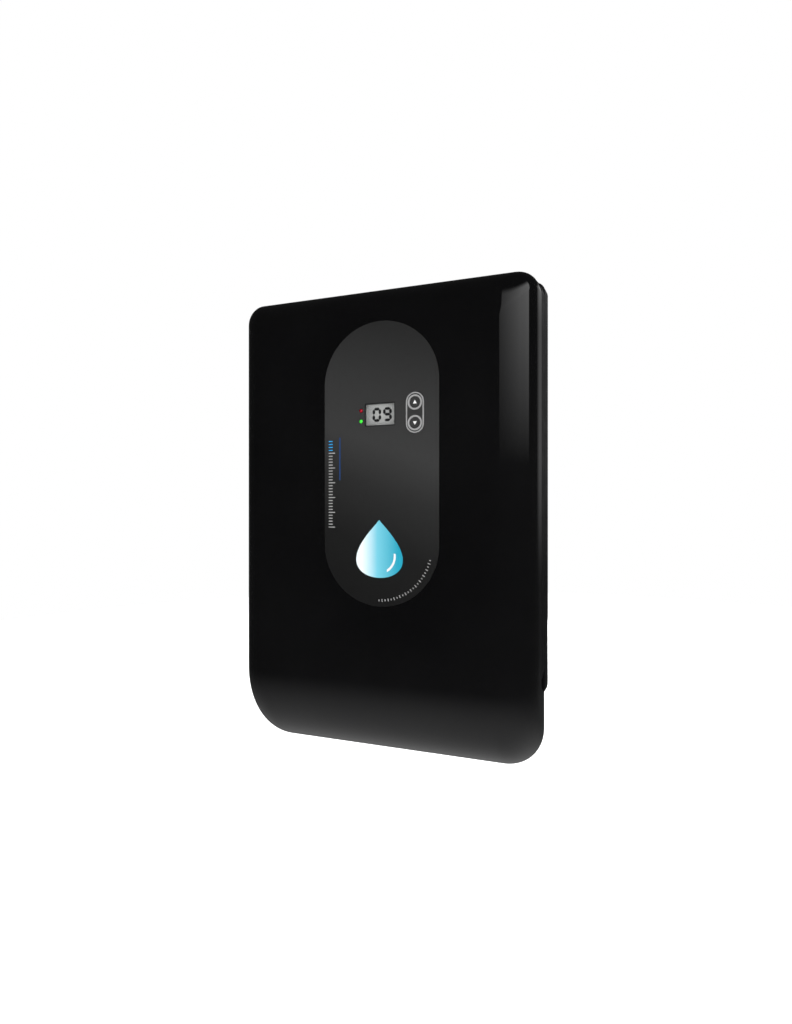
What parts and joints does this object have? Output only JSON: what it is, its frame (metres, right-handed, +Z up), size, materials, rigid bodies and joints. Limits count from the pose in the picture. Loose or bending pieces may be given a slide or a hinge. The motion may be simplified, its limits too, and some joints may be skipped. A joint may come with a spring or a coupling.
{
  "type": "salt chlorine generator",
  "caption": "Wall-mounted control unit of a salt chlorine generator, with a glossy pull-off hood, display, two keys, power electronics, cable glands and a wall bracket.",
  "frame": {"origin": "on the wall plane, at the centre of the wall bracket's flat back", "axes": "+X to the right as the user faces the unit, +Y into the wall, +Z up"},
  "size_m": [0.3, 0.0828, 0.4535],
  "materials": {
    "gloss_black": "high-gloss moulded black",
    "satin_black": "satin moulded black",
    "panel_grey": "satin printed overlay",
    "silver_grey": "satin light grey",
    "clear_window": "clear lens",
    "lcd_grey": "reflective grey display",
    "key_black": "satin black with a light symbol",
    "red_lens": "tinted lens, unlit",
    "green_lens": "tinted lens, lit",
    "board_green": "solder mask over glass-fibre board",
    "ferrite": "sintered ferrite",
    "winding_yellow": "wound coil under polyester tape",
    "copper": "enamelled copper wire",
    "aluminium": "extruded",
    "steel": "zinc plated",
    "nylon_white": "natural nylon",
    "component_black": "moulded black",
    "relay_blue": "moulded blue",
    "terminal_green": "moulded green",
    "capacitor_sleeve": "shrunk sleeve",
    "fuse_glass": "glass tube",
    "seal_rubber": "black rubber cord",
    "ribbon_grey": "flat grey cable"
  },
  "bodies": {
    "unit": {"casing": "satin_black", "cover_seal": "seal_rubber", "wall_bracket": "satin_black", "bracket_lock_screw": "steel", "power_switch_housing": "component_black", "main_board": "board_green", "transformer_core": "ferrite", "transformer_winding": "winding_yellow", "bulk_capacitor_1": "capacitor_sleeve", "bulk_capacitor_2": "capacitor_sleeve", "output_capacitor_1": "capacitor_sleeve", "output_capacitor_2": "capacitor_sleeve", "choke": "copper", "heat_sink": "aluminium", "output_transistor_1": "component_black", "output_transistor_2": "component_black", "polarity_relay_1": "relay_blue", "polarity_relay_2": "relay_blue", "mains_terminal_block": "terminal_green", "sensor_terminal_block": "terminal_green", "cell_terminal_block": "terminal_green", "microcontroller": "component_black", "fuse_holder": "component_black", "fuse": "fuse_glass", "display_board": "board_green", "lcd_module": "lcd_grey", "red_led": "red_lens", "green_led": "green_lens", "up_tact_switch": "component_black", "down_tact_switch": "component_black", "main_ribbon_header": "component_black", "display_ribbon_header": "component_black", "ribbon_cable": "ribbon_grey", "mains_gland_body": "component_black", "mains_gland_locknut": "component_black", "mains_gland_nut": "component_black", "sensor_gland_body": "component_black", "sensor_gland_locknut": "component_black", "sensor_gland_nut": "component_black", "cell_gland_body": "component_black", "cell_gland_locknut": "component_black", "cell_gland_nut": "component_black", "main_board_screw_1": "steel", "board_support_1": "nylon_white", "main_board_screw_2": "steel", "board_support_2": "nylon_white", "main_board_screw_3": "steel", "board_support_3": "nylon_white", "main_board_screw_4": "steel", "board_support_4": "nylon_white"},
    "cover": {"front_cover": "gloss_black", "control_panel": "panel_grey", "display_window": "clear_window", "key_surround": "silver_grey"},
    "up_key": {"up_key": "key_black"},
    "down_key": {"down_key": "key_black"},
    "rocker": {"power_switch_rocker": "component_black"}
  },
  "joints": [
    {"name": "cover_pull_off", "type": "slide", "parent": "unit", "child": "cover", "axis": [0, -1, 0], "range_m": [0, 0.15]},
    {"name": "up_key_press", "type": "slide", "parent": "cover", "child": "up_key", "axis": [0, 1, 0], "range_m": [0, 0.0007], "stiffness_N_per_m": 600, "springref_m": -0.0005},
    {"name": "down_key_press", "type": "slide", "parent": "cover", "child": "down_key", "axis": [0, 1, 0], "range_m": [0, 0.0007], "stiffness_N_per_m": 600, "springref_m": -0.0005},
    {"name": "power_rocker", "type": "hinge", "parent": "unit", "child": "rocker", "pos_m": [0.082, -0.05, -0.183], "axis": [0, 1, 0], "range_deg": [0, 24]}
  ]
}
